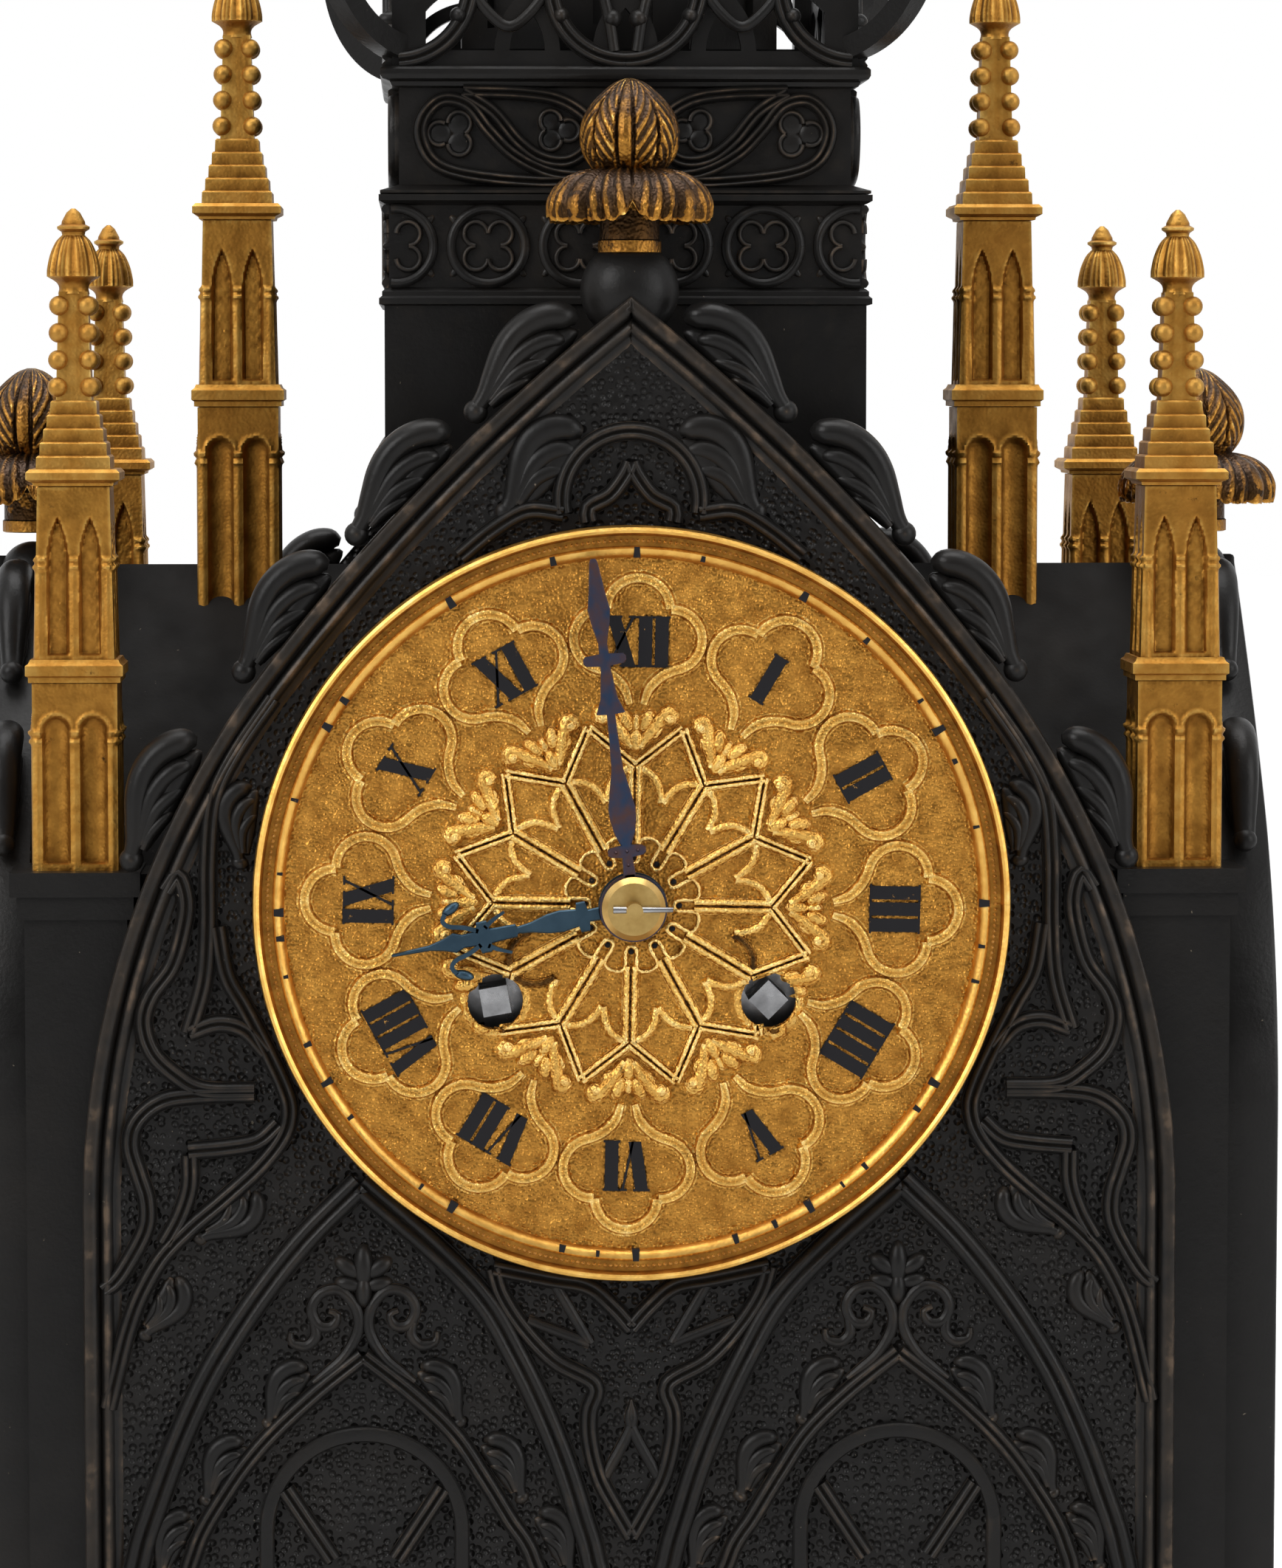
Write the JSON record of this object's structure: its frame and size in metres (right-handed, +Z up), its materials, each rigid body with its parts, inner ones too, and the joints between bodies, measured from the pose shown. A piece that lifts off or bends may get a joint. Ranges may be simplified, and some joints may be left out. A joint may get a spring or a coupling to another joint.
{
  "type": "mantel clock",
  "caption": "Gothic-revival cathedral mantel clock in dark patinated bronze with gilt dial and pinnacles, an open two-train movement, pendulum and spire.",
  "frame": {"origin": "middle of the footprint on the ground under the feet", "axes": "+X to the viewer's right, +Y from the dial into the clock, +Z up"},
  "size_m": [0.236, 0.158, 0.4819],
  "materials": {
    "patina_bronze": "cast bronze, near-black patina rubbed brown on the edges",
    "gilt_bronze": "cast and fire-gilt bronze, worn, dark in the recesses",
    "blued_steel": "blued steel with purple-brown tints",
    "movement_brass": "lacquered clock brass",
    "bright_steel": "polished steel",
    "bell_metal": "silvered bell metal"
  },
  "bodies": {
    "case": {"plinth_feet": "patina_bronze", "base_plinth": "patina_bronze", "front_facade": "patina_bronze", "rear_facade": "patina_bronze", "left_side_wall": "patina_bronze", "right_side_wall": "patina_bronze", "corner_pilasters": "patina_bronze", "cross_roof": "patina_bronze", "gable_crockets": "patina_bronze", "side_crockets": "patina_bronze", "pinnacle_front_left": "gilt_bronze", "pinnacle_front_right": "gilt_bronze", "pinnacle_rear_left": "gilt_bronze", "pinnacle_rear_right": "gilt_bronze", "pinnacle_ridge_left": "gilt_bronze", "pinnacle_ridge_right": "gilt_bronze", "front_gable_finial": "gilt_bronze", "outer_gable_finials": "gilt_bronze", "tower_shaft": "patina_bronze", "tower_scroll_frieze": "patina_bronze", "tower_gallery": "patina_bronze", "tower_horns": "patina_bronze", "spire": "patina_bronze", "spire_finial": "gilt_bronze", "dial_plate": "gilt_bronze", "dial_bezel": "gilt_bronze", "movement_front_plate": "movement_brass", "movement_back_plate": "movement_brass", "plate_pillars": "movement_brass", "suspension_cock": "movement_brass", "bell": "bell_metal", "bell_stand": "bright_steel", "movement_straps": "movement_brass", "strap_screws": "bright_steel", "back_bezel": "movement_brass"},
    "centre_arbor": {"centre_wheel": "movement_brass", "cannon_pinion": "bright_steel", "minute_hand": "blued_steel", "hand_collet": "movement_brass", "hand_pin": "bright_steel"},
    "hour_arbor": {"hour_wheel": "movement_brass", "hour_hand": "blued_steel"},
    "minute_arbor": {"minute_wheel": "movement_brass"},
    "intermediate_arbor": {"intermediate_wheel": "movement_brass"},
    "going_drum": {"going_barrel": "movement_brass", "going_mainspring": "bright_steel"},
    "third_arbor": {"third_wheel": "movement_brass"},
    "escape_arbor": {"escape_wheel": "movement_brass"},
    "going_winder": {"going_winding_arbor": "bright_steel"},
    "strike_winder": {"strike_winding_arbor": "bright_steel"},
    "pin_arbor": {"strike_pin_wheel": "movement_brass"},
    "strike_drum": {"strike_barrel": "movement_brass", "strike_mainspring": "bright_steel"},
    "fly_arbor": {"strike_fly": "movement_brass"},
    "hammer_arbor": {"strike_hammer": "bright_steel"},
    "pendulum": {"pendulum_rod": "bright_steel", "pendulum_bob": "gilt_bronze"},
    "rating": {"rating_nut": "movement_brass"},
    "anchor_arbor": {"pallet_anchor": "bright_steel"},
    "rear_door": {"back_door": "movement_brass"}
  },
  "joints": [
    {"name": "hands_turn", "type": "hinge", "parent": "case", "child": "centre_arbor", "pos_m": [0, -0.03, 0.186], "axis": [0, 1, 0], "continuous": true},
    {"name": "hour_turn", "type": "hinge", "parent": "case", "child": "hour_arbor", "pos_m": [0, -0.03, 0.186], "axis": [0, 1, 0], "continuous": true},
    {"name": "minute_wheel_turn", "type": "hinge", "parent": "case", "child": "minute_arbor", "pos_m": [0, -0.03, 0.174], "axis": [0, 1, 0], "continuous": true},
    {"name": "intermediate_turn", "type": "hinge", "parent": "case", "child": "intermediate_arbor", "pos_m": [-0.002, -0.03, 0.16932], "axis": [0, 1, 0], "continuous": true},
    {"name": "going_barrel_turn", "type": "hinge", "parent": "case", "child": "going_drum", "pos_m": [0.0199, -0.03, 0.1719], "axis": [0, 1, 0], "continuous": true},
    {"name": "third_turn", "type": "hinge", "parent": "case", "child": "third_arbor", "pos_m": [0.00863, -0.03, 0.19992], "axis": [0, 1, 0], "continuous": true},
    {"name": "escape_turn", "type": "hinge", "parent": "case", "child": "escape_arbor", "pos_m": [0, -0.03, 0.2105], "axis": [0, 1, 0], "continuous": true},
    {"name": "going_winding", "type": "hinge", "parent": "case", "child": "going_winder", "pos_m": [0.0199, -0.03, 0.1719], "axis": [0, 1, 0], "range_deg": [0, 1800]},
    {"name": "strike_winding", "type": "hinge", "parent": "case", "child": "strike_winder", "pos_m": [-0.0199, -0.03, 0.1719], "axis": [0, 1, 0], "range_deg": [0, 1800]},
    {"name": "strike_train_turn", "type": "hinge", "parent": "case", "child": "pin_arbor", "pos_m": [-0.02318, -0.03, 0.19051], "axis": [0, 1, 0], "continuous": true},
    {"name": "strike_barrel_turn", "type": "hinge", "parent": "case", "child": "strike_drum", "pos_m": [-0.0199, -0.03, 0.1719], "axis": [0, 1, 0], "continuous": true},
    {"name": "fly_turn", "type": "hinge", "parent": "case", "child": "fly_arbor", "pos_m": [-0.01743, -0.03, 0.20284], "axis": [0, 1, 0], "continuous": true},
    {"name": "hammer_lift", "type": "hinge", "parent": "case", "child": "hammer_arbor", "pos_m": [-0.03759, -0.03, 0.17232], "axis": [0, 1, 0], "range_deg": [0, 12], "stiffness_Nm_per_rad": 0.02, "springref_deg": -2.86},
    {"name": "pendulum_swing", "type": "hinge", "parent": "case", "child": "pendulum", "pos_m": [0, -0.008, 0.222], "axis": [0, 1, 0], "range_deg": [-3, 3]},
    {"name": "rating_nut_turn", "type": "hinge", "parent": "pendulum", "child": "rating", "pos_m": [0, -0.008, 0.085], "axis": [0, 0, 1], "range_deg": [-720, 720]},
    {"name": "anchor_rock", "type": "hinge", "parent": "case", "child": "anchor_arbor", "pos_m": [0, -0.02, 0.222], "axis": [0, 1, 0], "range_deg": [-3, 3]},
    {"name": "door_swing", "type": "hinge", "parent": "case", "child": "rear_door", "pos_m": [-0.0495, 0.0603, 0.186], "axis": [0, 0, 1], "range_deg": [0, 110]}
  ],
  "couplings": [
    {"joint": "hour_turn", "follows": "hands_turn", "ratio": 0.083333},
    {"joint": "minute_wheel_turn", "follows": "hands_turn", "ratio": -0.33333},
    {"joint": "intermediate_turn", "follows": "hands_turn", "ratio": -0.16667},
    {"joint": "going_barrel_turn", "follows": "hands_turn", "ratio": 0.027778},
    {"joint": "third_turn", "follows": "hands_turn", "ratio": -12},
    {"joint": "escape_turn", "follows": "hands_turn", "ratio": 144},
    {"joint": "strike_barrel_turn", "follows": "strike_train_turn", "ratio": -0.16667},
    {"joint": "fly_turn", "follows": "strike_train_turn", "ratio": -7.5},
    {"joint": "anchor_rock", "follows": "pendulum_swing", "ratio": 1}
  ]
}
